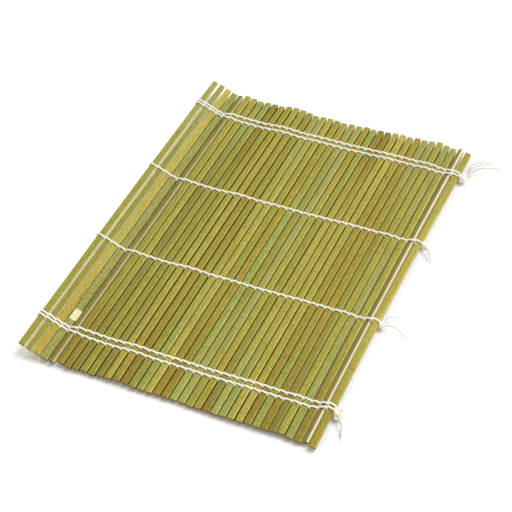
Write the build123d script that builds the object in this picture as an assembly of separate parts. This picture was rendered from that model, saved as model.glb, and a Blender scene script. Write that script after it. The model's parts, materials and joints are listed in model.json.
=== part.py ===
"""Bamboo rolling mat: flat slats laid side by side and twined together by rows of doubled cotton string."""

import os
from math import asin, cos, degrees, pi, radians, sin, tan

from build123d import *

# Flat slats, numbered from the free edge of the mat to the knotted edge
slat_length = 240.0
slat_width = 3.62
slat_thickness = 2.2
slat_bevel = 0.45
slat_gap = 0.96
# How far each sawn end stands past the mean, as shares of the scatter
end_scatter = 1.0
far_end_shares = (
    0.3, 0.5, 0.4, 0.1, -0.4, 0.6, 0.3, -0.4, 0.3, 0.3, -0.1, 0.8, 1.0, 0.6, -0.1, -1.0, -0.4, -0.4, -0.8,
    -1.5, -0.6, -0.6, 0.1, -0.8, -0.1, -0.2, 0.3, 0.6, -0.1, 0.8, 0.6, 1.0, 1.7, 0.8, -0.1, 0.6, -1.7,
)  # fmt: skip
near_end_shares = (
    -0.2, 0.1, -0.1, 0.1, 0.5, -0.4, 0.3, -0.1, -0.4, -0.1, -0.6, -0.4, -0.8, -0.6, -0.1, -0.2, -0.1, -0.4, -0.1,
    -0.4, -0.3, 0.1, 0.1, 0.0, 0.3, 0.3, 0.4, 0.3, 0.1, 0.3, 0.1, 0.0, -0.1, 0.5, 0.8, 0.1, 2.0,
)  # fmt: skip

# Slope of each slat as the mat lies, in degrees, with the edge nearer the free edge of the mat raised
rest_slopes = (
    18.0, 24.5, 26.5, 20.0, -15.0, 8.0, 5.0, 2.0, 3.0, -1.0, -3.0, -6.0, -1.0, 5.0, 5.0, 1.0, -2.0, 0.0, 1.0,
    0.0, 3.0, 0.0, -3.0, -1.0, 1.0, -4.0, -2.0, 1.0, 0.0, 0.0, 3.0, -7.0, 3.0, 8.0, -3.0, -13.0, 14.0,
)  # fmt: skip

# Rolled up, the mat winds in a spiral round a core of rice
roll_core = 11.5
roll_growth = 4.9
opened_fold_number = 4
opened_angle = 19.0

# Strings: each is doubled round the first slat, and its two strands cross in every gap
string_diameter = 0.84
string_sides = 6
string_clearance = 0.06
strand_spacing = 1.236
string_bend = 0.65
# Distance of the strings from the nearer ends of the slats: a pair at each end, and two single ones
outer_place_far = 19.85
outer_place_near = 21.5
pair_spacing = 4.15
middle_place_far = 85.8
middle_place_near = 88.9

# Knots past the last slat, each with the strings whose ends it ties
knots = {
    "knot_far": ("string_far_outer", "string_far_inner"),
    "knot_middle_far": ("string_middle_far",),
    "knot_middle_near": ("string_middle_near",),
    "knot_near": ("string_near_inner", "string_near_outer"),
}
knot_steps = 22
knot_opening = 0.16
knot_rise = 1.5
knot_turn = 150
knot_clearance = 0.1
knot_out = 0.35
double_lobe = 0.82
double_diameter = 1.04
double_slip = 1.0
single_lobe = 0.6
single_diameter = 0.76
single_slip = 0.6

# Frayed tails: reach out from the last slat, reach towards the far ends, and rise of the tip
tail_diameter = 0.36
tail_sides = 4
tail_steps = 4
tails = {
    "knot_far": ((5.6, 13.0, 4.6), (9.6, 12.4, 4.2), (14.6, 10.2, 3.4)),
    "knot_middle_far": ((4.2, -10.6, -0.6),),
    "knot_middle_near": ((11.6, -3.4, -0.4), (7.4, 3.6, 1.2)),
    "knot_near": ((3.4, -10.8, -0.6),),
}
tail_bow = 1.6

# Blank sticker on one slat, a little past the inner string of the near end
sticker_slat_number = 4
sticker_overhang = 0.75
sticker_length = 7.0
sticker_thickness = 0.1
sticker_place = 4.35


def gap_for(fold):
    """Distance between two slats at mid thickness, so that their nearer edges keep the usual gap when folded."""
    half = radians(abs(fold) / 2)
    return 2 * cos(half) * (slat_gap / 2 + (slat_thickness / 2 - slat_bevel) * tan(half))


# Slats as a chain in the X-Z plane, with a fold in every gap
slat_count = len(rest_slopes)
folds = [0.0] + [rest_slopes[k] - rest_slopes[k + 1] for k in range(slat_count - 1)] + [0.0]
gaps = [gap_for(fold) for fold in folds]
chain = [Vector(0, 0, 0)]
for k in range(slat_count):
    slope = radians(rest_slopes[k])
    step = slat_width + (gaps[k] + gaps[k + 1]) / 2
    chain.append(chain[-1] + Vector(cos(slope), 0, -sin(slope)) * step)

# Largest fold of each hinge, from the free edge inwards to the knotted edge
pitch = slat_width + slat_gap
turned = 0.0
roll_folds = []
for k in range(slat_count - 1):
    roll_radius = roll_core + roll_growth * turned / (2 * pi)
    roll_folds.append(degrees(2 * asin(pitch / (2 * roll_radius))))
    turned += radians(roll_folds[-1])
upper_limits = [max(0.0, round(roll_folds[k] - folds[k + 1], 1)) for k in range(slat_count - 1)]
lower_limits = [-opened_angle if k + 1 == opened_fold_number else 0.0 for k in range(slat_count - 1)]


def along(k):
    """Unit vector across slat k, from the free edge of the mat towards the knots."""
    slope = radians(rest_slopes[k])
    return Vector(cos(slope), 0, -sin(slope))


def upward(k):
    """Unit vector out of the top face of slat k."""
    slope = radians(rest_slopes[k])
    return Vector(sin(slope), 0, cos(slope))


def prism(corners, start, length):
    """A solid with this outline in the X-Z plane, from Y = start on."""
    outline = Wire.make_polygon([Vector(c.X, start, c.Z) for c in corners], close=True)
    return extrude(Face(outline), amount=length, dir=(0, 1, 0))


def slat(k):
    """Slat k, with its long edges bevelled and its two ends at their own lengths."""
    half_thickness = slat_thickness / 2
    left = gaps[k] / 2
    right = left + slat_width
    outline = (
        (left + slat_bevel, -half_thickness),
        (right - slat_bevel, -half_thickness),
        (right, -half_thickness + slat_bevel),
        (right, half_thickness - slat_bevel),
        (right - slat_bevel, half_thickness),
        (left + slat_bevel, half_thickness),
        (left, half_thickness - slat_bevel),
        (left, -half_thickness + slat_bevel),
    )
    corners = [chain[k] + along(k) * across + upward(k) * up for across, up in outline]
    near = -slat_length / 2 - near_end_shares[k] * end_scatter
    far = slat_length / 2 + far_end_shares[k] * end_scatter
    return prism(corners, near, far - near)


def tube(path, diameter, sides, loop=None):
    """A closed tube of flat faces along a path, mitred at every turn. The loop is where its two runs meet."""
    ways = [(path[i + 1] - path[i]).normalized() for i in range(len(path) - 1)]

    def cut(ring, i, way):
        across = ways[max(i - 1, 0)] + ways[min(i, len(ways) - 1)]
        return [q + way * ((path[i] - q).dot(across) / way.dot(across)) for q in ring]

    def run(start, stop):
        first = min(range(start, stop), key=lambda i: path[i].Z + path[i + 1].Z)
        aside = ways[first].cross(Vector(0, 0, 1)).normalized()
        over = aside.cross(ways[first])
        turns = [2 * pi * i / sides for i in range(sides)]
        level = [path[first] + (aside * cos(a) + over * sin(a)) * (diameter / 2) for a in turns]
        outlines = [cut(level, first, ways[first])]
        for i in range(first, start, -1):
            outlines.insert(0, cut(outlines[0], i - 1, ways[i - 1]))
        for i in range(first, stop):
            outlines.append(cut(outlines[-1], i + 1, ways[i]))
        return outlines

    if loop is None:
        rings = run(0, len(ways))
    else:
        rings = run(0, loop)
        far_rings = run(loop + 1, len(ways))
        slid = cut(rings[-1], loop + 1, ways[loop])
        turn = min(range(sides), key=lambda n: sum((slid[i] - far_rings[0][i - n]).length for i in range(sides)))
        rings += [[ring[i - turn] for i in range(sides)] for ring in far_rings]
    faces = [Face(Wire.make_polygon(ring, close=True)) for ring in (rings[0], rings[-1])]
    for n, (a, b) in enumerate(zip(rings, rings[1:])):
        for i in range(sides):
            j = (i + 1) % sides
            corners = [(a[i], a[j], b[j]), (a[i], b[j], b[i])] if n == loop else [(a[i], a[j], b[j], b[i])]
            faces += [Face(Wire.make_polygon(list(points), close=True)) for points in corners]
    solid = Solid(Shell(faces))
    return solid if solid.volume > 0 else Solid(Shell([-f for f in faces]))


def crossing(k, over, y):
    """Where a strand turns in gap k, above or below the slats."""
    if k == 0 or k == slat_count:
        out = upward(min(k, slat_count - 1))
    else:
        out = (upward(k - 1) + upward(k)).normalized()
    reach = (slat_thickness / 2 + string_diameter / 2 + string_clearance) / out.dot(upward(min(k, slat_count - 1)))
    place = chain[k] + out * (reach if over else -reach)
    return Vector(place.X, y, place.Z)


def strand(first_over, row):
    """The turning points of one strand, from the first slat to the last."""
    points = []
    for k in range(slat_count):
        over = first_over == (k % 2 == 0)
        aside = strand_spacing / 2 if over else -strand_spacing / 2
        points.append((crossing(k, over, row + aside), over))
        points.append((crossing(k + 1, over, row - aside), over))
    return points


def eased(points):
    """The same path with its upper corners cut off."""
    path = []
    for i, (here, over) in enumerate(points):
        if over and 0 < i < len(points) - 1:
            path.append(here + (points[i - 1][0] - here).normalized() * string_bend)
            path.append(here + (points[i + 1][0] - here).normalized() * string_bend)
        else:
            path.append(here)
    return path


def string(row, mouths, stop):
    """One doubled string: out over and under the slats, round the first one, and back. Each strand ends by a mouth."""
    outward = list(reversed(strand(True, row)))
    back = strand(False, row)
    ends = []
    for (start, over), mouth in zip((outward[0], back[-1]), mouths):
        reach = (mouth - start).length - stop
        ends.append((start + (mouth - start).normalized() * reach, False))
    outward[0] = (outward[0][0], False)
    out_run = eased([ends[0]] + outward)
    back_run = eased(back + [ends[1]])
    return tube(out_run + back_run, string_diameter, string_sides, len(out_run) - 1)


def knot_path(centre, lobe):
    """The middle line of an overhand knot lying flat, open towards the mat."""
    path = []
    for i in range(knot_steps + 1):
        t = pi / 3 + 2 * pi * (knot_opening / 2 + (1 - knot_opening) * i / knot_steps)
        flat = Vector(sin(t) + 2 * sin(2 * t), cos(t) - 2 * cos(2 * t), 0)
        path.append(centre + (flat.rotate(Axis.Z, knot_turn) - Vector(0, 0, knot_rise * sin(3 * t))) * lobe)
    return path


def tail(path, centre, out, along_slat, rise):
    """A frayed end that leaves the knot on its own side and bows over to its tip."""
    reach = Vector(out, along_slat, rise)
    start = max(path, key=lambda p: (p - centre).dot(reach))
    way = centre + reach - start
    run = []
    for i in range(tail_steps + 1):
        share = i / tail_steps
        run.append(start + way * share + Vector(0, 0, 1) * sin(pi * share) * tail_bow)
    return tube(run, tail_diameter, tail_sides)


parts = {}
for k in range(slat_count):
    parts[f"slat_{k + 1:02d}"] = slat(k)

# Knots, then the strings that run to them
far_edge = slat_length / 2
rows = {
    "string_far_outer": far_edge - outer_place_far,
    "string_far_inner": far_edge - outer_place_far - pair_spacing,
    "string_middle_far": far_edge - middle_place_far,
    "string_middle_near": middle_place_near - far_edge,
    "string_near_inner": outer_place_near + pair_spacing - far_edge,
    "string_near_outer": outer_place_near - far_edge,
}
middles = {}
for name, tied in knots.items():
    middles[name] = sum(rows[string_name] for string_name in tied) / len(tied)
for name, tied in knots.items():
    double = len(tied) > 1
    lobe = double_lobe if double else single_lobe
    diameter = double_diameter if double else single_diameter
    reach = 3 * lobe + diameter / 2
    centre = Vector(chain[-1].X + knot_out + reach, middles[name] - (double_slip if double else single_slip), chain[-1].Z)
    path = knot_path(centre, lobe)
    body = tube(path, diameter, string_sides)
    for shape in tails[name]:
        body = body + tail(path, centre, *shape)
    parts[name] = body
    low_end, high_end = sorted((path[0], path[-1]), key=lambda p: p.Y)
    stacked = Vector(0, 0, (string_diameter + string_clearance) / 2)
    for string_name in tied:
        end = high_end if rows[string_name] > middles[name] else low_end
        mouths = (end + stacked, end - stacked) if double else (low_end, high_end)
        parts[string_name] = string(rows[string_name], mouths, diameter / 2 + knot_clearance)

# The sticker lies flat on its slat and hangs over the next gap
k = sticker_slat_number - 1
sticker_width = slat_width - slat_bevel + sticker_overhang
low = slat_thickness / 2
sticker_outline = (
    (gaps[k] / 2 + slat_bevel, low),
    (gaps[k] / 2 + slat_bevel + sticker_width, low),
    (gaps[k] / 2 + slat_bevel + sticker_width, low + sticker_thickness),
    (gaps[k] / 2 + slat_bevel, low + sticker_thickness),
)
corners = [chain[k] + along(k) * across + upward(k) * up for across, up in sticker_outline]
parts["sticker"] = prism(corners, rows["string_near_inner"] + sticker_place, sticker_length)

# Stand the mat on the X-Y plane with its middle over the origin
boxes = [part.bounding_box() for part in parts.values()]
low_corner = [min(tuple(box.min)[i] for box in boxes) for i in range(3)]
high_corner = [max(tuple(box.max)[i] for box in boxes) for i in range(3)]
shift = Vector(-(low_corner[0] + high_corner[0]) / 2, -(low_corner[1] + high_corner[1]) / 2, -low_corner[2])
hinges = [place + shift for place in chain]

if __name__ == "__main__":
    os.makedirs("parts", exist_ok=True)
    for name, part in parts.items():
        export_step(part.moved(Location(shift)), f"parts/{name}.step")
    print(len(parts), "parts", "size", [round(b - a, 2) for a, b in zip(low_corner, high_corner)])
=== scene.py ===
"""Bamboo rolling mat: split slats twined together by cotton strings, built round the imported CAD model."""

import json
import math
import random

import bmesh
import bpy
import numpy as np
from mathutils import Matrix, Vector


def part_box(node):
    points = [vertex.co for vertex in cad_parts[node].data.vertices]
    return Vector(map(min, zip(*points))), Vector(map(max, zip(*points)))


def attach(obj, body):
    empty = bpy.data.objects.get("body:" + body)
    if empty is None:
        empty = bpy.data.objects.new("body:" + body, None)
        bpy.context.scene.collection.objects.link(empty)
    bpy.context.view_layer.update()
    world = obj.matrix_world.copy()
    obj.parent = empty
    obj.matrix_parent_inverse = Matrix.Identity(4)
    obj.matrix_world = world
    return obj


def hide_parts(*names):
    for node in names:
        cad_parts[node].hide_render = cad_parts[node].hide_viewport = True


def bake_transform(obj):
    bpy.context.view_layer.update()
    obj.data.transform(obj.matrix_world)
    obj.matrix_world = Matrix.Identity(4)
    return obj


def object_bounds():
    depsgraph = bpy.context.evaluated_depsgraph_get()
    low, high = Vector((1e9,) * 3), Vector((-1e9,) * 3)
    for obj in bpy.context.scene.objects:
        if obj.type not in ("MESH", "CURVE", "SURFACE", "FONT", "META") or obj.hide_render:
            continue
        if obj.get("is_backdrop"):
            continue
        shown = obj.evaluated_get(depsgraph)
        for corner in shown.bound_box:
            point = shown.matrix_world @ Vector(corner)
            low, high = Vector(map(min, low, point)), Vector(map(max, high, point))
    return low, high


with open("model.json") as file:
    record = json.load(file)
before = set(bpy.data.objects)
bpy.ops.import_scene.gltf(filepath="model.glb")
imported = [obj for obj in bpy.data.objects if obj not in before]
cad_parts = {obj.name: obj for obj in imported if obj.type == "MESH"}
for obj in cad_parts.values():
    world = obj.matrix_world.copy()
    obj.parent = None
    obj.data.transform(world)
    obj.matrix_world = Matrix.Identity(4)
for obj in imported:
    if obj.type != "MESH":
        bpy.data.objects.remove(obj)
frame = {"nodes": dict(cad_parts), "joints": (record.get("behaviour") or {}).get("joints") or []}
cad_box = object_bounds()

bl_info = {
    "name": "Bamboo rolling mat",
    "version": (1, 0, 0),
    "blender": (4, 5, 0),
    "location": "3D View > Sidebar > Rolling Mat",
    "description": "Makes the slats, strings, knots and sticker of a bamboo rolling mat",
    "category": "Add Mesh",
}

# One millimetre in metres
MM = 0.001

# The tone of each slat, from the free edge to the knots: near end, middle, far end
SLAT_TONES = (
    "olive olive sage",
    "olive olive sage",
    "amber gold gold",
    "sage sage leaf",
    "moss moss moss",
    "umber olive straw",
    "umber straw straw",
    "moss moss sage",
    "olive olive leaf",
    "olive olive umber",
    "moss olive olive",
    "straw straw ochre",
    "ochre straw straw",
    "umber ochre straw",
    "olive olive olive",
    "leaf straw sage",
    "straw straw sage",
    "umber olive straw",
    "umber ochre olive",
    "leaf leaf ochre",
    "sage olive sage",
    "olive sage sage",
    "ochre straw ochre",
    "moss olive leaf",
    "sage straw umber",
    "leaf straw umber",
    "straw straw straw",
    "straw straw gold",
    "umber ochre straw",
    "leaf ochre ochre",
    "umber ochre tan",
    "moss olive sage",
    "straw straw straw",
    "leaf sage sage",
    "umber straw sage",
    # The tilted slat before the last: its tone is partly painted shade of a top turned from the lamp
    "bark bark bark",
    "ochre gold straw",
)

# How far out along a slat its end tones begin, and the share of that way that is all middle tone
END_TONES_AT, MIDDLE_TONE_TO = 0.115, 0.25

# The lightness of a slat as a share of its tones'
LIGHTNESS = {
    2: 0.95, 3: 1.02, 5: 0.97, 8: 1.06, 17: 1.1, 18: 1.08, 20: 1.1, 22: 1.05, 25: 1.08, 36: 1.0, 37: 0.93
}
OTHER_LIGHTNESS = (0.93, 1.07)

# Growth rings of the cane, where a slat has one: slat number and place along the slat in millimetres
CANE_RINGS = {2: 82.0, 14: 78.0, 19: -88.0, 28: 96.0, 37: -67.0}
# The loops of points round a ring, in millimetres from its middle
RING_LOOPS = (-1.6, -0.4, 0.0, 0.4, 1.6)

# How far slats lie aside of even places, in millimetres: near end, middle, far end. The rest lie between
SWAY = {
    1: (0.4, 0.0, 0.2),
    3: (0.1, 0.0, 0.4),
    5: (0.2, 0.2, 0.2),
    6: (0.3, 0.3, 0.2),
    8: (0.1, 0.0, 0.1),
    11: (0.3, -0.3, 0.2),
    13: (0.5, 0.2, 0.4),
    17: (0.75, 0.65, 0.3),
    20: (0.85, 0.65, 0.45),
    23: (0.95, 0.65, 0.75),
    26: (0.85, 0.5, 0.5),
    30: (0.8, 0.0, 0.6),
    33: (0.2, -0.2, 0.2),
    34: (0.0, -0.8, 0.1),
    35: (0.2, -0.6, -0.2),
    36: (-0.3, -1.3, -0.3),
    37: (-0.9, -1.6, 0.0),
}

# The width of a slat as a share of the CAD slat's
WIDTHS = {1: 0.98, 2: 0.97, 3: 1.05, 4: 1.08, 5: 0.86, 34: 1.02, 35: 1.02, 36: 0.84, 37: 1.03}
OTHER_WIDTHS = (1.02, 1.06)

# The turn of a slat about its length, in degrees
TURNED = {5: 2.0, 36: -11.0}
OTHER_TURNS = (-2, 2)

# How pale a slat's split sides are: 0 is dark brown, 0.5 tan and 1 pith. The browner a side, the more painted
# shade of the gap it holds
PALE_SIDES = {
    1: 0.9, 2: 0.95, 3: 0.75, 4: 0.5, 5: 0.8, 6: 0.3, 7: 0.02, 11: 0.18, 12: 0.18, 13: 0.22, 14: 0.2,
    15: 0.2, 16: 0.42, 17: 0.32, 18: 0.2, 19: 0.25, 20: 0.38, 21: 0.37, 22: 0.22, 24: 0.26, 25: 0.3,
    26: 0.28, 27: 0.1, 28: 0.22, 29: 0.24, 30: 0.34, 31: 0.27, 32: 0.5, 34: 0.62, 35: 0.4, 36: 1.0
}
OTHER_SIDES = (0.06, 0.15)
# Slats whose split sides get no painted shade at the foot
SIDES_WITHOUT_FOOT_SHADE = (1, 2, 3, 4, 34)

# How strong a painted highlight a slat's top has along its right edge
EDGE_HIGHLIGHTS = {
    1: 0.6, 2: 0.6, 3: 0.4, 4: 0.2, 5: 0.8, 6: 0.8, 8: 0.6, 19: 0.65, 20: 0.65, 34: 0.25, 35: 0.8, 36: 0.3
}

# How much wider a slat is split below than above
SPLIT_BELOW = {1: 1.0, 2: 1.05, 3: 1.19, 4: 1.16, 5: 1.0, 6: 1.05, 34: 1.3, 35: 1.25, 36: 1.0, 37: 1.0}
OTHER_SPLIT = 1.15

# The slat before the last lies tilted, is deeper below than the others, and its right shoulder is split off
TILTED_SLAT = 36
DEPTH_BELOW, TILTED_DEPTH = 1.12, 1.4
SHOULDER = 0.0003

# Half the length of the blank slat, where the saw's lean begins, and where far ends begin to get narrower
HALF_LENGTH = 0.12
SAWN_FROM, SAWN_LEAN = 0.1185, 0.0009
TAPER_FROM, TAPER_LENGTH, TAPER = 0.11, 0.01, 0.07

# The most that a slat is twisted from end to end, in degrees
MOST_TWIST = 1.6

# The share of an edge or a normal that has to run along the slat
ALONG_SLAT = 0.9

# Half the gap between two slats
HALF_GAP = 0.00048

# The place of each string row along the slats, and its pull at the free edge and at the knots, in millimetres
ROWS = {
    "string_far_outer": (100.3, -1.0, -1.6),
    "string_far_inner": (96.15, 1.0, 0.3),
    "string_middle_far": (34.35, 0.0, 0.7),
    "string_middle_near": (-30.95, 0.0, 0.7),
    "string_near_inner": (-94.2, -1.0, 1.0),
    "string_near_outer": (-98.35, 1.0, 2.6),
}
# The gap where each pull ends or begins, and the number of gaps in which it grows
FREE_PULL_TO, FREE_PULL_OVER = 5.6, 1.6
KNOT_PULL_FROM, KNOT_PULL_OVER = 33.5, 3

# Room between a string and the slats, and the lowest that its middle lies, as a share of its thickness
STRING_ROOM, STRING_LOWEST = 0.00003, 0.6
# How much of each corner of a string's route is cut off, and the spacing of points on its line
CORNER_CUT, STRING_SPACING = 0.00065, 0.00016
# How far the plies stand out of a string, as a share of its radius
PLY_DEPTH = 0.13

# The strings that each knot ties
KNOTS = {
    "knot_far": ("string_far_outer", "string_far_inner"),
    "knot_middle_far": ("string_middle_far",),
    "knot_middle_near": ("string_middle_near",),
    "knot_near": ("string_near_inner", "string_near_outer"),
}
# The strings that go into the far mouth of a large knot, and the way from a mouth to each strand
FAR_MOUTH = ("string_far_outer", "string_near_inner")
MOUTH_APART = Vector((0, 0, 0.00025))

# The middle of each knot past, along and above the last slat's edge, its lobe and its cord, in millimetres
KNOT_PLACES = {
    "knot_far": (1.9, 96.5, 1.3, 0.84, 1.2),
    "knot_middle_far": (0.8, 34.9, 1.5, 0.62, 0.95),
    "knot_middle_near": (1.0, -31.5, 1.5, 0.62, 0.95),
    "knot_near": (2.2, -97.2, 1.6, 0.94, 1.3),
}
# How far a knot is tilted and turned, in degrees, and the number of points on its route less one
KNOT_TILT, KNOT_TURN, KNOT_STEPS = 25, 150, 22
# The length of one turn of a knot's yarns round each other, and the spacing of their points
YARN_TURN, YARN_SPACING = 0.012, 0.0002
# A yarn's radius, as a share of the string's thickness
YARN_RADIUS = 0.42
# By a knot's number of yarns: their spread in its cord, its tails' thickness, and its number of hairs
KNOT_KINDS = {4: (0.36, 1.0, 18), 2: (0.3, 0.7, 8)}

# The tip of each tail from the middle of its knot: past, along and above it, in millimetres
TAILS = {
    "knot_far": ((7.8, 17.4, 1.2), (12.4, 16.9, 1.0), (18.4, 14.4, 0.6)),
    "knot_middle_far": ((7.3, -10.0, -3.2), (5.4, -9.6, -3.3)),
    "knot_middle_near": ((14.5, -1.2, -3.3), (6.0, 9.6, -2.4)),
    "knot_near": ((6.0, -13.2, -3.3), (5.2, -10.6, -3.3)),
}
# Where a tail has points, how far they wander, and how far it bends aside and rises between its ends
TAIL_SHARES = (0.15, 0.3, 0.45, 0.6, 0.75, 0.88, 1.0)
TAIL_CURL, TAIL_BEND, TAIL_RISE = 0.45, 0.1, 1.6
# The radius of a thick tail at the knot and at its tip
TAIL_RADII = (0.00046, 0.00026)
# Points of a hair by their distance from the yarn, how fast it droops, how far it strays, and its radius
HAIR_REACHES, HAIR_DROOP, HAIR_STRAY, HAIR_RADIUS = (0, 0.0007, 0.0013, 0.0019), 60, 0.8, 0.00007
# Spacing of points on tails and hairs, and the length of one turn of their two plies
LOOSE_SPACING, LOOSE_TWIST = 0.0003, 0.0016
# The lowest that the middles of yarns, tails and hairs lie above the table
LOWEST_YARN, LOWEST_TAIL, LOWEST_HAIR = 0.00058, 0.0006, 0.0002

# The sticker's width, its place in from the slat's edge and above the skin, its added length and thickness
STICKER_WIDTH, STICKER_INSET, STICKER_LIFT = 0.00392, 0.00045, 0.00008
STICKER_LONGER, STICKER_THICKNESS = 0.0008, 0.0001

# The camera's place, and the ways that are ahead, to the right and down in its picture
CAMERA_PLACE = Vector((0.26123, -0.56468, 0.58899))
CAMERA_AHEAD = Vector((-0.31497, 0.65396, -0.68784))
CAMERA_RIGHT = Vector((0.91397, 0.40435, -0.03408))
CAMERA_DOWN = Vector((0.25584, -0.6394, -0.72506))

# The way that the lamp shines, and its breadth in degrees
LAMP_WAY, LAMP_BREADTH = Vector((-0.4, -0.22, -1)), 35

WHITE = (1, 1, 1, 1)

# Colours that the cane's skin runs to
DRY_SKIN = (0.43, 0.39, 0.095)
YELLOW_SKIN = (0.42, 0.36, 0.05)
GREEN_SKIN = (0.27, 0.32, 0.06)
RUSTY_SKIN = (0.36, 0.24, 0.02)
STAINED_SKIN = (0.23, 0.15, 0.018)
DARK_SPECK = (0.13, 0.06, 0.015)
# What fibres multiply the skin by, and the painted highlights along its edges
DARK_FIBRE = (0.60, 0.57, 0.36)
LIGHT_FIBRE = (1.31, 1.34, 2.05)
RIGHT_EDGE_HIGHLIGHT = (1.8, 1.95, 3.2)
LEFT_EDGE_HIGHLIGHT = (1.3, 1.3, 2.0)
# The split sides, the painted shade in the gaps and at their foot, and what grain multiplies them by
SHADED_BROWN_SIDE = (0.20, 0.13, 0.022)
TAN_SIDE = (0.44, 0.36, 0.12)
BLACK_FOOT_SHADE = (0.07, 0.032, 0.005)
BROWN_FOOT_SHADE = (0.25, 0.12, 0.035)
SIDE_GRAIN = (0.7, 0.55, 0.4)
# The underside and its stains, and what its streaks and grain multiply it by
INNER_CANE = (0.60, 0.49, 0.21)
INNER_STAIN = (0.34, 0.24, 0.08)
INNER_STREAK = (0.72, 0.62, 0.46)
INNER_GRAIN = (0.70, 0.58, 0.42)
# The swelling and the groove of a growth ring, and the pores in sawn ends
RING_SWELLING = (0.50, 0.43, 0.13)
RING_GROOVE = (0.17, 0.085, 0.02)
PORE = (0.13, 0.06, 0.02)
# What wear multiplies the cotton by, its fibres, and the painted shade in the grooves between its plies
WORN_COTTON = (0.84, 0.80, 0.74)
COTTON_FIBRE = (0.95, 0.93, 0.88)
COTTON_GROOVE_SHADE = (0.50, 0.43, 0.31)
# Darker clouds in the sticker's paper and in the floor
PAPER_CLOUD = (0.58, 0.54, 0.20)
FLOOR_CLOUD = (0.93, 0.93, 0.93)


class SlatSettings(bpy.types.PropertyGroup):
    edge: bpy.props.FloatProperty(
        name="Edge", description="Rounding of the long edges", default=0.00032, unit="LENGTH"
    )
    warp: bpy.props.FloatProperty(
        name="Warp", description="How far a slat bows sideways by chance", default=0.00012, unit="LENGTH"
    )
    olive: bpy.props.FloatVectorProperty(
        name="Olive", description="Olive skin", default=(0.29, 0.27, 0.03), subtype="COLOR"
    )
    moss: bpy.props.FloatVectorProperty(
        name="Moss", description="Dark olive skin", default=(0.20, 0.17, 0.026), subtype="COLOR"
    )
    leaf: bpy.props.FloatVectorProperty(
        name="Leaf", description="Green skin", default=(0.28, 0.33, 0.06), subtype="COLOR"
    )
    sage: bpy.props.FloatVectorProperty(
        name="Sage", description="Grey green skin", default=(0.33, 0.335, 0.075), subtype="COLOR"
    )
    straw: bpy.props.FloatVectorProperty(
        name="Straw", description="Yellow green skin", default=(0.385, 0.335, 0.042), subtype="COLOR"
    )
    gold: bpy.props.FloatVectorProperty(
        name="Gold", description="Golden skin", default=(0.51, 0.42, 0.065), subtype="COLOR"
    )
    ochre: bpy.props.FloatVectorProperty(
        name="Ochre", description="Brown gold skin", default=(0.34, 0.26, 0.022), subtype="COLOR"
    )
    umber: bpy.props.FloatVectorProperty(
        name="Umber", description="Brown skin", default=(0.25, 0.17, 0.012), subtype="COLOR"
    )
    amber: bpy.props.FloatVectorProperty(
        name="Amber", description="Orange gold skin", default=(0.48, 0.335, 0.036), subtype="COLOR"
    )
    # The darkest skin: a dark tone, darkened further as painted shade for the tilted slat's top
    bark: bpy.props.FloatVectorProperty(
        name="Bark", description="Darkest skin", default=(0.135, 0.105, 0.014), subtype="COLOR"
    )
    tan: bpy.props.FloatVectorProperty(
        name="Tan", description="Tan skin", default=(0.36, 0.31, 0.09), subtype="COLOR"
    )
    pith: bpy.props.FloatVectorProperty(
        name="Pith", description="Split sides and underside", default=(1.0, 0.94, 0.56), subtype="COLOR"
    )
    sawn: bpy.props.FloatVectorProperty(
        name="Sawn ends", description="Sawn ends", default=(0.25, 0.155, 0.05), subtype="COLOR"
    )


class StringSettings(bpy.types.PropertyGroup):
    thickness: bpy.props.FloatProperty(
        name="Thickness", description="Thickness of the string", default=0.00117, unit="LENGTH"
    )
    twist: bpy.props.FloatProperty(
        name="Twist", description="Length of one turn of the plies", default=0.0026, unit="LENGTH"
    )
    spread: bpy.props.FloatProperty(
        name="Spread", description="Distance between the two strands in a gap", default=0.0008, unit="LENGTH"
    )
    # The frayed ends are the same cotton, darkened as painted shade
    shaded_fluff: bpy.props.FloatVectorProperty(
        name="Loose ends", description="Colour of frayed ends", default=(0.70, 0.69, 0.60), subtype="COLOR"
    )
    cotton: bpy.props.FloatVectorProperty(
        name="Cotton", description="Colour of the string", default=(1.0, 0.98, 0.87), subtype="COLOR"
    )


class StickerSettings(bpy.types.PropertyGroup):
    paper: bpy.props.FloatVectorProperty(
        name="Paper", description="Colour of the sticker", default=(0.82, 0.78, 0.42), subtype="COLOR"
    )


class StageSettings(bpy.types.PropertyGroup):
    floor: bpy.props.FloatVectorProperty(
        name="Floor", description="Colour of the floor", default=(0.97, 0.97, 0.97), subtype="COLOR"
    )
    sky: bpy.props.FloatProperty(name="Soft light", description="Level of the light all round", default=0.62)
    lamp: bpy.props.FloatProperty(name="Lamp", description="Level of the lamp above the mat", default=1.78)
    lens: bpy.props.FloatProperty(
        name="Lens", description="Focal length of the camera in millimetres", default=108.43
    )


def read_slats():
    """The middle, the ways across and up, the width, the thickness and the two ends of each CAD slat."""
    slats = []
    for number in range(1, len(SLAT_TONES) + 1):
        name = f"slat_{number:02d}"
        points = np.array([v.co for v in frame["nodes"][name].data.vertices])
        flat = np.unique(points[:, (0, 2)].round(7), axis=0)
        middle = (flat.max(0) + flat.min(0)) / 2
        turns = np.linalg.svd(flat - flat.mean(0))[2]
        across = turns[0] * np.sign(turns[0][0])
        up = np.array([-across[1], across[0]])
        reach = (flat - middle) @ np.array([across, up]).T
        slats.append(
            {
                "name": name,
                "middle": Vector((middle[0], 0, middle[1])),
                "across": Vector((across[0], 0, across[1])),
                "up": Vector((up[0], 0, up[1])),
                "width": float(np.ptp(reach[:, 0])),
                "thickness": float(np.ptp(reach[:, 1])),
                "near": float(points[:, 1].min()),
                "far": float(points[:, 1].max()),
            }
        )
    return slats


SLATS = read_slats()
LAST_BODY = SLATS[-1]["name"] + "_body"


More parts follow.
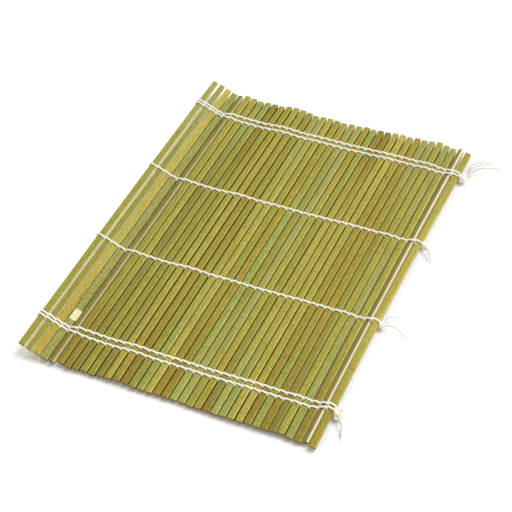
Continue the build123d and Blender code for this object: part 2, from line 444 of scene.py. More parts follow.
class Value:
    """A socket on its way through a material. Arithmetic on it adds the Math nodes."""

    def __init__(self, finish, socket):
        self.finish, self.socket = finish, socket

    def __add__(self, other):
        return self.finish.maths("ADD", self, other)

    def __radd__(self, other):
        return self.finish.maths("ADD", other, self)

    def __sub__(self, other):
        return self.finish.maths("SUBTRACT", self, other)

    def __rsub__(self, other):
        return self.finish.maths("SUBTRACT", other, self)

    def __mul__(self, other):
        return self.finish.maths("MULTIPLY", self, other)

    def __rmul__(self, other):
        return self.finish.maths("MULTIPLY", other, self)


def socket_of(sockets, key):
    """The socket with this number, identifier or name."""
    if isinstance(key, int):
        return sockets[key]
    return next(s for s in sockets if key in (s.identifier, s.name))


class Finish:
    """The nodes of a material or of the world, made one by one."""

    def __init__(self, owner):
        self.owner = owner
        owner.use_nodes = True
        self.tree = owner.node_tree
        self.tree.nodes.clear()

    def node(self, kind, settings=None, inputs=None, output=0):
        """Adds a node: its settings first, then the values or links of its sockets. Gives an output."""
        made = self.tree.nodes.new(kind)
        for key, value in (settings or {}).items():
            setattr(made, key, value)
        for key, value in (inputs or {}).items():
            socket = socket_of(made.inputs, key)
            if isinstance(value, Value):
                self.tree.links.new(value.socket, socket)
            else:
                socket.default_value = value
        return Value(self, socket_of(made.outputs, output)) if len(made.outputs) else None

    def maths(self, operation, first, second):
        return self.node("ShaderNodeMath", {"operation": operation}, {0: first, 1: second})

    def step(self, value, low, high):
        """A mask that turns smoothly from 0 at low to 1 at high."""
        return self.node(
            "ShaderNodeMapRange",
            {"interpolation_type": "SMOOTHSTEP"},
            {"Value": value, "From Min": low, "From Max": high},
        )

    def mix(self, share, first, second, blend="MIX"):
        """Two colours mixed by a share."""
        first, second = (c if isinstance(c, Value) else (*c, 1.0) for c in (first, second))
        return self.node(
            "ShaderNodeMix",
            {"data_type": "RGBA", "blend_type": blend},
            {"Factor_Float": share, "A_Color": first, "B_Color": second},
            "Result_Color",
        )

    def over(self, base, colour, value, low, high, share, blend="MIX"):
        """A colour with a share of another laid over it where a value passes from low to high."""
        return self.mix(self.step(value, low, high) * share, base, colour, blend)

    def attribute(self, name, output="Fac"):
        return self.node("ShaderNodeAttribute", {"attribute_name": name}, output=output)

    def place(self):
        return self.node("ShaderNodeTexCoord", output="Object")

    def noise(self, scale, stretch=(1, 1, 1), detail=2.0, roughness=0.5, place=None):
        """Cloudy variation, stretched along an axis where its stretch is small."""
        mapped = {"Vector": place or self.place(), "Scale": stretch}
        mapped = self.node("ShaderNodeMapping", None, mapped, "Vector")
        inputs = {"Vector": mapped, "Scale": scale, "Detail": detail, "Roughness": roughness}
        return self.node("ShaderNodeTexNoise", None, inputs)

    def bump(self, height, strength, distance):
        """The unevenness that a height makes."""
        inputs = {"Strength": strength, "Distance": distance, "Height": height}
        return self.node("ShaderNodeBump", None, inputs, "Normal")

    def close(self, **inputs):
        """Ends a material with a surface shader that takes these inputs, and gives the material."""
        inputs = {name.replace("_", " "): value for name, value in inputs.items()}
        surface = self.node("ShaderNodeBsdfPrincipled", None, inputs)
        self.node("ShaderNodeOutputMaterial", None, {"Surface": surface})
        return self.owner


def split_bamboo(settings):
    """Split cane: green to golden skin on top, pale fibrous sides and underside, brown sawn ends. Painted
    shade darkens the sides in the gaps, and painted highlights lighten the top's edges.
    """
    f = Finish(bpy.data.materials.new("split_bamboo"))
    lay = f.attribute("lay", "Vector")
    across, up = (f.node("ShaderNodeSeparateXYZ", None, {"Vector": lay}, axis) for axis in "XY")
    tint = f.attribute("tint", "Color")
    sawn, ring, pale = (f.attribute(name) for name in ("sawn", "ring", "pale"))
    crisp, shaded = (f.attribute(name) for name in ("crisp", "shaded"))
    # Fibres and grain run along the slats, and slow changes are a few slats wide
    fine = f.noise(4200.0, (1, 0.011, 1), 2.0, 0.6)
    coarse = f.noise(1100.0, (1, 0.02, 1), 3.0, 0.55)
    streak = f.noise(1700.0, (1, 0.07, 1), 2.0, 0.6)
    grain = f.noise(2600.0, (1, 0.35, 1), 1.0)
    speck = f.noise(900.0, (1, 0.35, 1))
    blotch = f.noise(420.0, (1, 0.12, 1), 3.0, 0.6)
    hue = f.noise(210.0, (1, 0.10, 1))
    drift = f.noise(160.0, (1, 0.16, 1))
    skin = f.mix(0.2, tint, DRY_SKIN)
    skin = f.over(skin, YELLOW_SKIN, drift, 0.4, 0.7, 0.1)
    skin = f.over(skin, GREEN_SKIN, hue, 0.53, 0.68, 0.14)
    skin = f.over(skin, RUSTY_SKIN, hue, 0.46, 0.32, 0.16)
    skin = f.over(skin, STAINED_SKIN, blotch, 0.58, 0.74, 0.1)
    shares = (coarse, 0.18, 0.14), (streak, 0.18, 0.15), (grain, 0.75, 0.68), (fine, 0.5, 0.42)
    for fibres, dark, light in shares:
        skin = f.over(skin, DARK_FIBRE, fibres, 0.5, 0.68, dark, "MULTIPLY")
        skin = f.over(skin, LIGHT_FIBRE, fibres, 0.48, 0.32, light, "MULTIPLY")
    skin = f.over(skin, DARK_SPECK, speck, 0.70, 0.76, 0.8)
    # Painted highlights: the top's right edge lighter where the bevel would catch the lamp, and its left edge
    # a little lighter
    skin = f.over(skin, RIGHT_EDGE_HIGHLIGHT, across, 0.70, 0.84, crisp, "MULTIPLY")
    skin = f.over(skin, LEFT_EDGE_HIGHLIGHT, across, -0.85, -0.95, 0.3, "MULTIPLY")
    # Split sides run from dark brown through tan to pale pith. The brown, and the darker foot that most have,
    # are painted shade in the gaps between slats
    side = f.mix(f.step(pale, 0.0, 0.5), SHADED_BROWN_SIDE, TAN_SIDE)
    side = f.mix(f.step(pale, 0.5, 1.0), side, settings.pith)
    # Painted shade: the lower side darker where it lies deep in the gap
    side = f.over(side, BLACK_FOOT_SHADE, up, 0.7, -0.3, f.step(pale, 0.4, 0.0))
    side = f.over(side, BROWN_FOOT_SHADE, up, -0.05, -0.6, f.step(pale, 0.45, 0.6) * shaded * 0.85)
    side = f.over(side, SIDE_GRAIN, coarse, 0.45, 0.75, 0.3, "MULTIPLY")
    # The underside is the inner side of the cane, pale and fibrous on every slat
    under = f.mix(0.2, INNER_CANE, tint)
    under = f.over(under, INNER_STREAK, streak, 0.42, 0.70, 0.7, "MULTIPLY")
    under = f.over(under, INNER_GRAIN, coarse, 0.50, 0.72, 0.6, "MULTIPLY")
    under = f.over(under, INNER_STAIN, blotch, 0.52, 0.70, 0.4)
    under = f.mix(f.step(pale, 0.8, 0.9), under, settings.pith)
    side = f.mix(f.step(up, -0.84, -0.96), side, under)
    # The skin covers the top, and begins a little higher on slats whose sides are all pith
    body = f.mix(f.step(up - f.step(pale, 0.9, 1.0) * 0.2, 0.70, 0.82), side, skin)
    body = f.over(body, RING_SWELLING, ring, 0.1, 0.6, 0.22)
    body = f.over(body, RING_GROOVE, ring, 0.62, 0.95, 0.75)
    pores = f.node("ShaderNodeTexVoronoi", None, {"Vector": f.place(), "Scale": 3200.0}, "Distance")
    end = f.over(settings.sawn, PORE, pores, 0.30, 0.12, 0.7)
    return f.close(
        Base_Color=f.mix(sawn, body, end),
        Roughness=0.52 + coarse * 0.16 + sawn * 0.2,
        Normal=f.bump(fine * 0.35 + coarse * 0.65, 0.35, 0.00012),
        Specular_IOR_Level=0.1,
    )


def cotton(name, shade):
    """Twisted cotton string, with fine fibres that run round with the plies. One of a name is made once."""
    if name in bpy.data.materials:
        return bpy.data.materials[name]
    f = Finish(bpy.data.materials.new(name))
    fibres = f.noise(1.0, (9, 2600, 1), 2.0, 0.6, f.node("ShaderNodeUVMap", {"uv_map": "yarn"}))
    patches = f.noise(260.0)
    worn = [level * less for level, less in zip(shade, WORN_COTTON)]
    colour = f.over(shade, worn, patches, 0.4, 0.7, 0.15)
    colour = f.over(colour, COTTON_FIBRE, fibres, 0.35, 0.7, 0.15)
    # Painted shade in the grooves between the plies
    colour = f.mix(f.attribute("groove") * 0.3, colour, COTTON_GROOVE_SHADE)
    return f.close(
        Base_Color=colour,
        Roughness=0.88 + fibres * 0.08,
        Normal=f.bump(fibres, 0.4, 0.00005),
        Specular_IOR_Level=0.2,
    )


def sticker_paper(settings):
    """Blank coated paper, a little uneven."""
    f = Finish(bpy.data.materials.new("sticker_paper"))
    cloud = f.noise(900.0, detail=3.0, roughness=0.6)
    colour = f.over(settings.paper, PAPER_CLOUD, cloud, 0.42, 0.60, 0.6)
    return f.close(Base_Color=colour, Roughness=0.42 + cloud * 0.1, Normal=f.bump(cloud, 0.2, 0.00004))


def white_floor(settings):
    """Plain matt table, with a hardly visible unevenness."""
    f = Finish(bpy.data.materials.new("white_table"))
    cloud = f.noise(30.0)
    return f.close(Base_Color=f.mix(cloud * 0.02, settings.floor, FLOOR_CLOUD), Roughness=0.9)


def bare():
    """Deselects everything, so that an operator works only on what comes next."""
    bpy.ops.object.select_all(action="DESELECT")
    bpy.context.view_layer.objects.active = None


def add_object(name, data):
    """A new object in the scene."""
    made = bpy.data.objects.new(name, data)
    bpy.context.scene.collection.objects.link(made)
    return made


def pick(piece, kind, test):
    """Selects the vertices, edges or faces of the mesh being edited that pass the test, and nothing else."""
    mesh = bmesh.from_edit_mesh(piece.data)
    parts = {"VERT": mesh.verts, "EDGE": mesh.edges, "FACE": mesh.faces}
    for elements in parts.values():
        for element in elements:
            element.select = False
    bpy.context.tool_settings.mesh_select_mode = [kind == name for name in parts]
    for element in parts[kind]:
        if test(element):
            element.select = True
    mesh.select_flush_mode()
    bmesh.update_edit_mesh(piece.data)


def laid(x_axis, y_axis, z_axis, middle):
    """The turn, scale and place of an object with these axes and this middle."""
    turn = Matrix((x_axis, y_axis, z_axis)).transposed().to_4x4()
    turn.translation = middle
    return turn


def apply_place():
    """Puts the selected object's place, turn and scale into its mesh."""
    bpy.ops.object.transform_apply(location=True, rotation=True, scale=True)


def slat_blank(width, thickness, edge):
    """One straight slat at the origin with rounded long edges, divided along its length."""
    bare()
    bpy.ops.mesh.primitive_cube_add(size=1, location=(0, 0, 0), scale=(width, 2 * HALF_LENGTH, thickness))
    blank = bpy.context.active_object
    apply_place()
    bpy.ops.object.mode_set(mode="EDIT")

    def long_edge(e):
        way = e.verts[1].co - e.verts[0].co
        return abs(way.y) > ALONG_SLAT * way.length

    pick(blank, "EDGE", long_edge)
    bpy.ops.mesh.bevel(offset=edge, segments=3, affect="EDGES")
    pick(blank, "EDGE", long_edge)
    bpy.ops.mesh.subdivide(number_cuts=23)
    pick(blank, "FACE", lambda face: abs(face.normal.y) > ALONG_SLAT)
    bpy.ops.mesh.inset(thickness=0.00012)
    bpy.ops.object.mode_set(mode="OBJECT")
    return blank


def sway(number, along):
    """How far a slat lies aside of its even place at a point along it, in metres."""
    known = sorted(SWAY)
    near, middle, far = (np.interp(number, known, [SWAY[k][i] for k in known]) for i in range(3))
    share = along / HALF_LENGTH
    return MM * (middle + share * (far - near) / 2 + share * share * ((far + near) / 2 - middle))


def note(mesh, name, kind, domain, values):
    """Writes values on a slat's points or faces, for its material to read."""
    mesh.attributes.new(name, kind, domain)
    field = {"FLOAT": "value", "FLOAT_VECTOR": "vector", "FLOAT_COLOR": "color"}[kind]
    for entry, value in zip(mesh.attributes[name].data, values):
        setattr(entry, field, value)


def note_lay(mesh, width, thickness):
    """Notes where each point of the slat lies across it and up it, and which faces are sawn."""
    lay = [(point.co.x / width * 2, point.co.z / thickness * 2, 0) for point in mesh.vertices]
    note(mesh, "lay", "FLOAT_VECTOR", "POINT", lay)
    note(mesh, "sawn", "FLOAT", "FACE", [float(abs(face.normal.y) > ALONG_SLAT) for face in mesh.polygons])


def note_tint(mesh, tones, ring_place):
    """Notes the slat's tone along its length, and the growth ring of the cane where it has one."""
    near, middle, far = (Vector(tone) for tone in tones)
    tint, ring = [], []
    for point in mesh.vertices:
        share = max(-1.0, min(1.0, point.co.y / END_TONES_AT))
        other = far if share > 0 else near
        blend = max(0.0, (abs(share) - MIDDLE_TONE_TO) / (1 - MIDDLE_TONE_TO))
        tint.append((*middle.lerp(other, blend * blend * (3 - 2 * blend)), 1.0))
        away = math.inf if ring_place is None else abs(point.co.y - ring_place * MM)
        ring.append(max(0.0, 1 - away / (RING_LOOPS[-1] * MM)))
    note(mesh, "tint", "FLOAT_COLOR", "POINT", tint)
    note(mesh, "ring", "FLOAT", "POINT", ring)


def cut_slat(piece, slat, ring_place):
    """Gives a copy of the blank its own length, and loops of points round its growth ring."""
    bpy.ops.object.mode_set(mode="EDIT")
    for end, way in ((slat["far"], 1), (slat["near"], -1)):
        pick(piece, "VERT", lambda v: v.co.y * way > HALF_LENGTH - 0.0001)
        bpy.ops.transform.translate(value=(0, end - way * HALF_LENGTH, 0))
    if ring_place is not None:
        for side in RING_LOOPS:
            bpy.ops.mesh.select_all(action="SELECT")
            bpy.ops.mesh.bisect(plane_co=(0, (ring_place + side) * MM, 0), plane_no=(0, 1, 0))
    bpy.ops.object.mode_set(mode="OBJECT")


def twist_slat(piece, degrees):
    """Turns one end of a slat against the other."""
    warp = piece.modifiers.new("twist", "SIMPLE_DEFORM")
    warp.deform_method, warp.deform_axis = "TWIST", "Y"
    warp.angle = math.radians(degrees)
    bpy.ops.object.modifier_apply(modifier=warp.name)


def shape_slat(mesh, number, thickness, share, bow):
    """Moves the points of a straight slat to where the knife, the saw and the strings leave them."""
    tilted = number == TILTED_SLAT
    for point in mesh.vertices:
        if abs(point.co.y) > SAWN_FROM:
            point.co.y -= math.copysign(SAWN_LEAN * (0.5 - point.co.z / thickness), point.co.y)
        taper = max(0.0, (point.co.y - TAPER_FROM) / TAPER_LENGTH)
        point.co.x *= 1 - TAPER * taper
        if point.co.z < 0:
            point.co.z *= TILTED_DEPTH if tilted else DEPTH_BELOW
            point.co.x *= 1 + (SPLIT_BELOW.get(number, OTHER_SPLIT) - 1) * (1 - taper)
        elif tilted and point.co.x > 0:
            point.co.x -= SHOULDER
        bowed = bow * (1 - (point.co.y / HALF_LENGTH) ** 2)
        point.co.x = point.co.x * share + bowed + sway(number, point.co.y)


class MAT_OT_slats(bpy.types.Operator):
    """Makes the split bamboo slats over their CAD solids"""

    bl_idname = "mat.slats"
    bl_label = "Slats"

    def execute(self, context):
        settings = context.scene.mat_slats
        finish = split_bamboo(settings)
        dice = random.Random(37)
        width, thickness = SLATS[0]["width"], SLATS[0]["thickness"]
        blank = slat_blank(width, thickness, settings.edge)
        note_lay(blank.data, width, thickness)
        blank.data.materials.append(finish)
        for number, slat in enumerate(SLATS, 1):
            piece = add_object(f"split_slat_{number:02d}", blank.data.copy())
            bare()
            piece.select_set(True)
            context.view_layer.objects.active = piece
            ring_place = CANE_RINGS.get(number)
            cut_slat(piece, slat, ring_place)
            twist_slat(piece, dice.uniform(-MOST_TWIST, MOST_TWIST))
            bow = dice.uniform(-1, 1) * settings.warp
            shape_slat(piece.data, number, thickness, WIDTHS.get(number, dice.uniform(*OTHER_WIDTHS)), bow)
            lightness = LIGHTNESS.get(number, dice.uniform(*OTHER_LIGHTNESS))
            colours = [getattr(settings, tone) for tone in SLAT_TONES[number - 1].split()]
            tones = [[level * lightness for level in colour] for colour in colours]
            note_tint(piece.data, tones, ring_place)
            notes = {
                "pale": PALE_SIDES.get(number, dice.uniform(*OTHER_SIDES)),
                "shaded": float(number not in SIDES_WITHOUT_FOOT_SHADE),
                "crisp": EDGE_HIGHLIGHTS.get(number, 0.46 + 0.06 * (number * 7 % 5)),
            }
            for name, value in notes.items():
                note(piece.data, name, "FLOAT", "POINT", [value] * len(piece.data.vertices))
            lean = Matrix.Rotation(math.radians(TURNED.get(number, dice.uniform(*OTHER_TURNS))), 4, "Y")
            piece.matrix_world = laid(slat["across"], Vector((0, 1, 0)), slat["up"], slat["middle"]) @ lean
            apply_place()
            bpy.ops.object.shade_smooth_by_angle(angle=math.radians(40))
            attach(piece, slat["name"] + "_body")
            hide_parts(slat["name"])
        bpy.data.objects.remove(blank)
        return {"FINISHED"}


def gap_places():
    """The middle of the edge before the first slat, of each gap, and of the edge past the last slat."""
    hinges = {joint["name"]: Vector(joint["pos_m"]) for joint in frame["joints"]}
    places = [hinges[f"fold_{n:02d}_{n + 1:02d}"] for n in range(1, len(SLATS))]
    first, last = SLATS[0], SLATS[-1]
    places.insert(0, first["middle"] - first["across"] * (first["width"] / 2 + HALF_GAP))
    places.append(last["middle"] + last["across"] * (last["width"] / 2 + HALF_GAP))
    return places


GAPS = gap_places()


def crossing(gap, over, along, thickness):
    """Where a strand turns in a gap, above or below the slats."""
    aside = sum(sway(min(max(n, 1), len(SLATS)), along) for n in (gap, gap + 1)) / 2
    beside = SLATS[min(gap, len(SLATS) - 1)]
    out = beside["up"] if gap in (0, len(SLATS)) else (SLATS[gap - 1]["up"] + beside["up"]).normalized()
    reach = (beside["thickness"] / 2 + thickness / 2 + STRING_ROOM) / out.dot(beside["up"])
    place = GAPS[gap] + out * (reach if over else -reach) + beside["across"] * aside
    return Vector((place.x, along, max(place.z, thickness * STRING_LOWEST)))


def drawn(name, gap):
    """Where a string row lies at a gap: the doubled rows are drawn together at both edges of the mat."""
    place, first, last = ROWS[name]
    start = min(1.0, max(0.0, (FREE_PULL_TO - gap) / FREE_PULL_OVER))
    end = min(1.0, max(0.0, (gap - KNOT_PULL_FROM) / KNOT_PULL_OVER))
    return (place + first * start + last * end) * MM


def strand(first_over, name, settings):
    """The turning points of one strand, from the first slat to the last."""
    points = []
    for k in range(len(SLATS)):
        over = first_over == (k % 2 == 0)
        aside = settings.spread / 2 if over else -settings.spread / 2
        points.append(crossing(k, over, drawn(name, k) + aside, settings.thickness))
        points.append(crossing(k + 1, over, drawn(name, k + 1) - aside, settings.thickness))
    return points


def eased(points, cut):
    """The same path with its corners cut off."""
    path = [points[0]]
    for before, here, after in zip(points, points[1:], points[2:]):
        for other in (before, after):
            way = other - here
            path.append(here + way.normalized() * min(cut, way.length * 0.45))
    return path + [points[-1]]


def smooth_line(points, resolution):
    """The points of a smooth NURBS line that follows these ones."""
    curve = bpy.data.curves.new("route", "CURVE")
    curve.dimensions = "3D"
    spline = curve.splines.new("NURBS")
    spline.points.add(len(points) - 1)
    for control, point in zip(spline.points, points):
        control.co = (*point, 1.0)
    spline.order_u = 3
    spline.use_endpoint_u = True
    spline.resolution_u = resolution
    route = add_object("route", curve)
    line = bpy.data.meshes.new_from_object(route)
    found = np.array([v.co for v in line.vertices])
    bpy.data.objects.remove(route)
    bpy.data.meshes.remove(line)
    bpy.data.curves.remove(curve)
    return found


def even_line(line, spacing):
    """The same line with points at even distances, and how far along it each point is."""
    lengths = np.concatenate([[0], np.cumsum(np.linalg.norm(np.diff(line, axis=0), axis=1))])
    count = max(3, int(lengths[-1] / spacing) + 1)
    places = np.linspace(0, lengths[-1], count)
    return np.stack([np.interp(places, lengths, line[:, i]) for i in range(3)], axis=1), places


def frames_along(line):
    """Two directions square to the line at each of its points, carried along without turning."""
    ways = np.gradient(line, axis=0)
    ways /= np.linalg.norm(ways, axis=1)[:, None]
    # The first may point anywhere but along the line
    aside = np.cross(ways[0], (0.3, 0.1, 1.0))
    asides = [aside / np.linalg.norm(aside)]
    for way in ways[1:]:
        aside = asides[-1] - way * (asides[-1] @ way)
        asides.append(aside / np.linalg.norm(aside))
    asides = np.array(asides)
    return asides, np.cross(ways, asides)


class Yarns:
    """Twisted strings collected for one mesh."""

    def __init__(self):
        self.points, self.faces, self.corners, self.grooves = [], [], [], []

    def add(self, line, places, frames, radius, twist, plies=3, sides=12):
        """A string of plies round a line, closed at its ends, with one radius or one at each point."""
        start = len(self.points)
        angles = np.arange(sides) * 2 * math.pi / sides
        radii = np.broadcast_to(radius, (len(line),))
        for middle, place, aside, over, reach in zip(line, places, *frames, radii):
            lobes = np.cos(plies * (angles - 2 * math.pi * place / twist))
            reach = reach * (1 + PLY_DEPTH * lobes)
            ring = middle + np.outer(np.cos(angles) * reach, aside) + np.outer(np.sin(angles) * reach, over)
            self.points += [tuple(point) for point in ring]
            self.grooves += [float(groove) for groove in np.clip(-lobes, 0, 1)]
        for i in range(len(line) - 1):
            here, onward = start + i * sides, start + (i + 1) * sides
            turn = places[i] / twist
            for j in range(sides):
                n = (j + 1) % sides
                self.faces.append((here + j, here + n, onward + n, onward + j))
                corners = ((j, i), (j + 1, i), (j + 1, i + 1), (j, i + 1))
                self.corners.append([(side / sides - turn, places[k]) for side, k in corners])
        last = start + (len(line) - 1) * sides
        self.faces += [tuple(reversed(range(start, start + sides))), tuple(range(last, last + sides))]
        self.corners += [[(0.0, 0.0)] * sides] * 2

    def lay(self, line, spacing, radius, twist, **kind):
        """A string that follows a line by itself. Gives the line as it was laid."""
        line, places = even_line(line, spacing)
        if isinstance(radius, tuple):
            radius = np.linspace(*radius, len(line))
        self.add(line, places, frames_along(line), radius, twist, **kind)
        return line

    def mesh(self, name, finish):
        """One mesh of all the strings so far."""
        mesh = bpy.data.meshes.new(name)
        mesh.from_pydata(self.points, [], self.faces)
        yarn = mesh.uv_layers.new(name="yarn")
        yarn.data.foreach_set("uv", [n for face in self.corners for corner in face for n in corner])
        groove = mesh.attributes.new("groove", "FLOAT", "POINT")
        groove.data.foreach_set("value", self.grooves)
        mesh.polygons.foreach_set("use_smooth", [len(face) == 4 for face in self.faces])
        mesh.materials.append(finish)
        mesh.update()
        return add_object(name, mesh)


def knot_centre(name):
    """The middle of a knot pulled up against the last slat, its lobe and the thickness of its cord."""
    out, along, rise, lobe, thick = (size * MM for size in KNOT_PLACES[name])
    return GAPS[-1] + Vector((out + sway(len(SLATS), along), along, rise)), lobe, thick


def knot_route(name):
    """The middle line of an overhand knot open towards the mat, its outer side hanging a little."""
    centre, lobe, _ = knot_centre(name)
    turn = Matrix.Rotation(math.radians(KNOT_TILT), 3, "Y") @ Matrix.Rotation(math.radians(KNOT_TURN), 3, "Z")
    route = []
    for i in range(KNOT_STEPS + 1):
        # A trefoil with a sixth of its length left out
        t = math.pi / 3 + 2 * math.pi * (0.08 + 0.84 * i / KNOT_STEPS)
        across, along = math.sin(t) + 2 * math.sin(2 * t), math.cos(t) - 2 * math.cos(2 * t)
        route.append(centre + turn @ Vector((across, along, -1.5 * math.sin(3 * t))) * lobe)
    return route


def string_mouths():
    """Where the two ends of each string go into its knot."""
    mouths = {}
    for name, tied in KNOTS.items():
        route = knot_route(name)
        near, far = sorted((route[0], route[-1]), key=lambda p: p.y)
        for string_name in tied:
            if len(tied) == 1:
                mouths[string_name] = (near, far)
            else:
                mouth = far if string_name in FAR_MOUTH else near
                mouths[string_name] = (mouth + MOUTH_APART, mouth - MOUTH_APART)
    return mouths


def stretches(line):
    """A string's line cut at the middle of each slat: the gap that each stretch crosses, and its points."""
    gaps = np.searchsorted([slat["middle"].x for slat in SLATS], line[:, 0])
    start = 0
    for i in range(1, len(line) + 1):
        if i == len(line) or gaps[i] != gaps[start]:
            if i - start > 2:
                yield gaps[start], slice(max(0, start - 1), i)
            start = i


class MAT_OT_strings(bpy.types.Operator):
    """Twines the six doubled strings round the slats, in one piece for each gap"""

    bl_idname = "mat.strings"
    bl_label = "Strings"

    def execute(self, context):
        settings = context.scene.mat_strings
        finish = cotton("twisted_cotton", settings.cotton)
        bundles = [Yarns() for _ in range(len(SLATS) + 1)]
        for name, (first_mouth, last_mouth) in string_mouths().items():
            out, back = (strand(first_over, name, settings) for first_over in (True, False))
            points = [first_mouth, *eased(out[::-1] + back, CORNER_CUT), last_mouth]
            line, places = even_line(smooth_line(points, 8), STRING_SPACING)
            asides, overs = frames_along(line)
            for gap, run in stretches(line):
                frames = asides[run], overs[run]
                bundles[gap].add(line[run], places[run], frames, settings.thickness / 2, settings.twist)
        for gap, bundle in enumerate(bundles):
            if gap == 0:
                piece = bundle.mesh("strings_round_first_slat", finish)
                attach(piece, "slat_01_body")
            elif gap == len(SLATS):
                piece = bundle.mesh("strings_past_last_slat", finish)
                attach(piece, LAST_BODY)
                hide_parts(*ROWS)
            else:
                piece = bundle.mesh(f"strings_gap_{gap:02d}_{gap + 1:02d}", finish)
                before, after = SLATS[gap - 1], SLATS[gap]
                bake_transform(piece)
        return {"FINISHED"}


def tie_knot(name, settings):
    """The yarns of a knot, turned round each other, and the line of the last of them."""
    yarns = 2 * len(KNOTS[name])
    offset = knot_centre(name)[2] * KNOT_KINDS[yarns][0]
    line, places = even_line(smooth_line(knot_route(name), 6), YARN_SPACING)
    asides, overs = frames_along(line)
    bundle = Yarns()
    for n in range(yarns):
        angle = 2 * math.pi * (n / yarns + places / YARN_TURN)
        yarn = line + asides * (np.cos(angle) * offset)[:, None] + overs * (np.sin(angle) * offset)[:, None]
        yarn[:, 2] = np.maximum(yarn[:, 2], LOWEST_YARN)
        yarn = bundle.lay(yarn, YARN_SPACING, settings.thickness * YARN_RADIUS, settings.twist)
    return bundle, yarn


def tail_route(start, centre, reach, dice):
    """The points of a tail that arches from the knot to its tip and lies on the table."""
    tip = centre + reach
    arch = Vector((-reach.y * TAIL_BEND, reach.x * TAIL_BEND, TAIL_RISE * MM))
    route = [start]
    for share in TAIL_SHARES:
        curl = Vector([dice.uniform(-TAIL_CURL, TAIL_CURL) * MM for _ in range(3)])
        point = start.lerp(tip, share) + arch * math.sin(math.pi * share) + curl * (1 if share < 1 else 0)
        route.append(Vector((point.x, point.y, max(point.z, LOWEST_TAIL))))
    return route


def fray_knot(name, yarn, dice):
    """The tails of a knot, and hairs that stand off the line of its last yarn."""
    centre = knot_centre(name)[0]
    _, thickness, hairs = KNOT_KINDS[2 * len(KNOTS[name])]
    loose = Yarns()
    radii = tuple(radius * thickness for radius in TAIL_RADII)
    for tail in TAILS[name]:
        reach = Vector(tail) * MM
        start = max(knot_route(name), key=lambda p: (p - centre).dot(reach))
        line = smooth_line(tail_route(start, centre, reach, dice), 8)
        loose.lay(line, LOOSE_SPACING, radii, LOOSE_TWIST, plies=2, sides=8)
    for _ in range(hairs):
        root = Vector(yarn[dice.randrange(len(yarn))])
        stray = Vector([dice.uniform(-HAIR_STRAY, HAIR_STRAY) for _ in range(3)])
        away = (root - centre).normalized() + stray
        hair = [root + away * reach + Vector((0, 0, -reach * reach * HAIR_DROOP)) for reach in HAIR_REACHES]
        line, places = even_line(smooth_line(hair, 4), LOOSE_SPACING)
        line[:, 2] = np.maximum(line[:, 2], LOWEST_HAIR)
        loose.add(line, places, frames_along(line), HAIR_RADIUS, LOOSE_TWIST, plies=2, sides=5)
    return loose


class MAT_OT_knots(bpy.types.Operator):
    """Ties the knots past the last slat and lays their frayed tails"""

    bl_idname = "mat.knots"
    bl_label = "Knots"

    def execute(self, context):
        settings = context.scene.mat_strings
        finish = cotton("twisted_cotton", settings.cotton)
        # The tails take a darker copy of the cotton, as painted shade
        shaded_fluff = cotton("loose_fibres", settings.shaded_fluff)
        dice = random.Random(6)
        for name in KNOTS:
            bundle, yarn = tie_knot(name, settings)
            ends = fray_knot(name, yarn, dice).mesh(f"{name}_tails", shaded_fluff)
            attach(ends, LAST_BODY)
            piece = bundle.mesh(f"{name}_tied", finish)
            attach(piece, LAST_BODY)
            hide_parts(name)
        return {"FINISHED"}


class MAT_OT_sticker(bpy.types.Operator):
    """Lays the blank sticker on its slat"""

    bl_idname = "mat.sticker"
    bl_label = "Sticker"

    def execute(self, context):
        near, far = (corner.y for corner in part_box("sticker"))
        far += STICKER_LONGER
        slat = SLATS[3]
        bare()
        bpy.ops.mesh.primitive_grid_add(x_subdivisions=8, y_subdivisions=10, size=1, location=(0, 0, 0))
        piece = context.active_object
        piece.name = "blank_sticker"
        aside = -slat["width"] / 2 + STICKER_INSET + STICKER_WIDTH / 2
        middle = slat["middle"] + slat["across"] * aside + slat["up"] * (slat["thickness"] / 2 + STICKER_LIFT)
        middle.y = (near + far) / 2
        length = Vector((0, far - near, 0))
        piece.matrix_world = laid(slat["across"] * STICKER_WIDTH, length, slat["up"], middle)
        apply_place()
        thick = piece.modifiers.new("paper", "SOLIDIFY")
        thick.thickness, thick.offset = STICKER_THICKNESS, 0
        bpy.ops.object.modifier_apply(modifier=thick.name)
        piece.data.materials.append(sticker_paper(context.scene.mat_sticker))
        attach(piece, "slat_04_body")
        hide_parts("sticker")
        return {"FINISHED"}


def soft_light(settings):
    """Even light from all round, which the camera sees as white."""
    f = Finish(bpy.data.worlds.new("soft_light"))
    seen = f.node("ShaderNodeLightPath", output="Is Camera Ray")
    around = f.node("ShaderNodeBackground", None, {"Color": WHITE, "Strength": settings.sky})
    white = f.node("ShaderNodeBackground", None, {"Color": WHITE, "Strength": 1.0})
    light = f.node("ShaderNodeMixShader", None, {0: seen, 1: around, 2: white})
    f.node("ShaderNodeOutputWorld", None, {"Surface": light})
    return f.owner


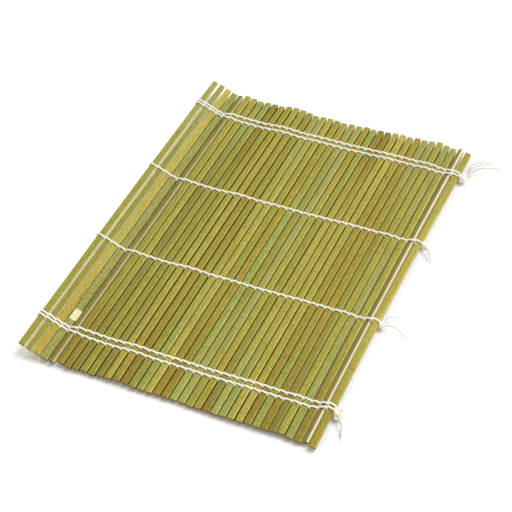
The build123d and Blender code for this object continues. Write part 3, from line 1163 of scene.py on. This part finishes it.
class MAT_OT_stage(bpy.types.Operator):
    """Sets the white table, the soft light and the camera"""

    bl_idname = "mat.stage"
    bl_label = "Stage"

    def execute(self, context):
        settings = context.scene.mat_stage
        bare()
        bpy.ops.mesh.primitive_plane_add(size=6, location=(0, 0, 0))
        table = context.active_object
        table.name = "white_table"
        table.data.materials.append(white_floor(settings))
        table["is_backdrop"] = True
        context.scene.world = soft_light(settings)
        lamp = bpy.data.lights.new("lamp", "SUN")
        lamp.energy, lamp.angle = settings.lamp, math.radians(LAMP_BREADTH)
        add_object("lamp", lamp).rotation_euler = LAMP_WAY.to_track_quat("-Z", "Y").to_euler()
        camera = bpy.data.cameras.new("camera")
        camera.lens, camera.sensor_width = settings.lens, 36
        camera.clip_start, camera.clip_end = 0.01, 10
        view = add_object("camera", camera)
        view.matrix_world = laid(CAMERA_RIGHT, -CAMERA_DOWN, -CAMERA_AHEAD, CAMERA_PLACE)
        context.scene.camera = view
        context.scene.view_settings.view_transform = "Standard"
        return {"FINISHED"}


class MAT_PT_panel(bpy.types.Panel):
    """Lists what the rolling mat is made of"""

    bl_idname = "MAT_PT_panel"
    bl_label = "Rolling Mat"
    bl_space_type = "VIEW_3D"
    bl_region_type = "UI"
    bl_category = "Rolling Mat"

    def draw(self, context):
        for operator, group in OPERATORS.items():
            box = self.layout.box()
            settings = getattr(context.scene, group)
            for name in settings.bl_rna.properties.keys():
                if name not in ("rna_type", "name"):
                    box.prop(settings, name)
            box.operator(operator)


# The settings that each operator works from
OPERATORS = {
    "mat.slats": "mat_slats",
    "mat.strings": "mat_strings",
    "mat.knots": "mat_strings",
    "mat.sticker": "mat_sticker",
    "mat.stage": "mat_stage",
}
GROUPS = {
    "mat_slats": SlatSettings,
    "mat_strings": StringSettings,
    "mat_sticker": StickerSettings,
    "mat_stage": StageSettings,
}
CLASSES = (
    *GROUPS.values(),
    *(MAT_OT_slats, MAT_OT_strings, MAT_OT_knots, MAT_OT_sticker, MAT_OT_stage),
    MAT_PT_panel,
)


def register():
    for cls in CLASSES:
        bpy.utils.register_class(cls)
    for name, group in GROUPS.items():
        setattr(bpy.types.Scene, name, bpy.props.PointerProperty(type=group))


def unregister():
    for name in GROUPS:
        delattr(bpy.types.Scene, name)
    for cls in reversed(CLASSES):
        bpy.utils.unregister_class(cls)


def main():
    register()
    bpy.ops.mat.slats()
    bpy.ops.mat.strings()
    bpy.ops.mat.knots()
    bpy.ops.mat.sticker()
    bpy.ops.mat.stage()
    boxes = {"cad": cad_box, "visual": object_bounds()}
    {name: [list(corner) for corner in box] for name, box in boxes.items()}


if __name__ == "__main__":
    main()
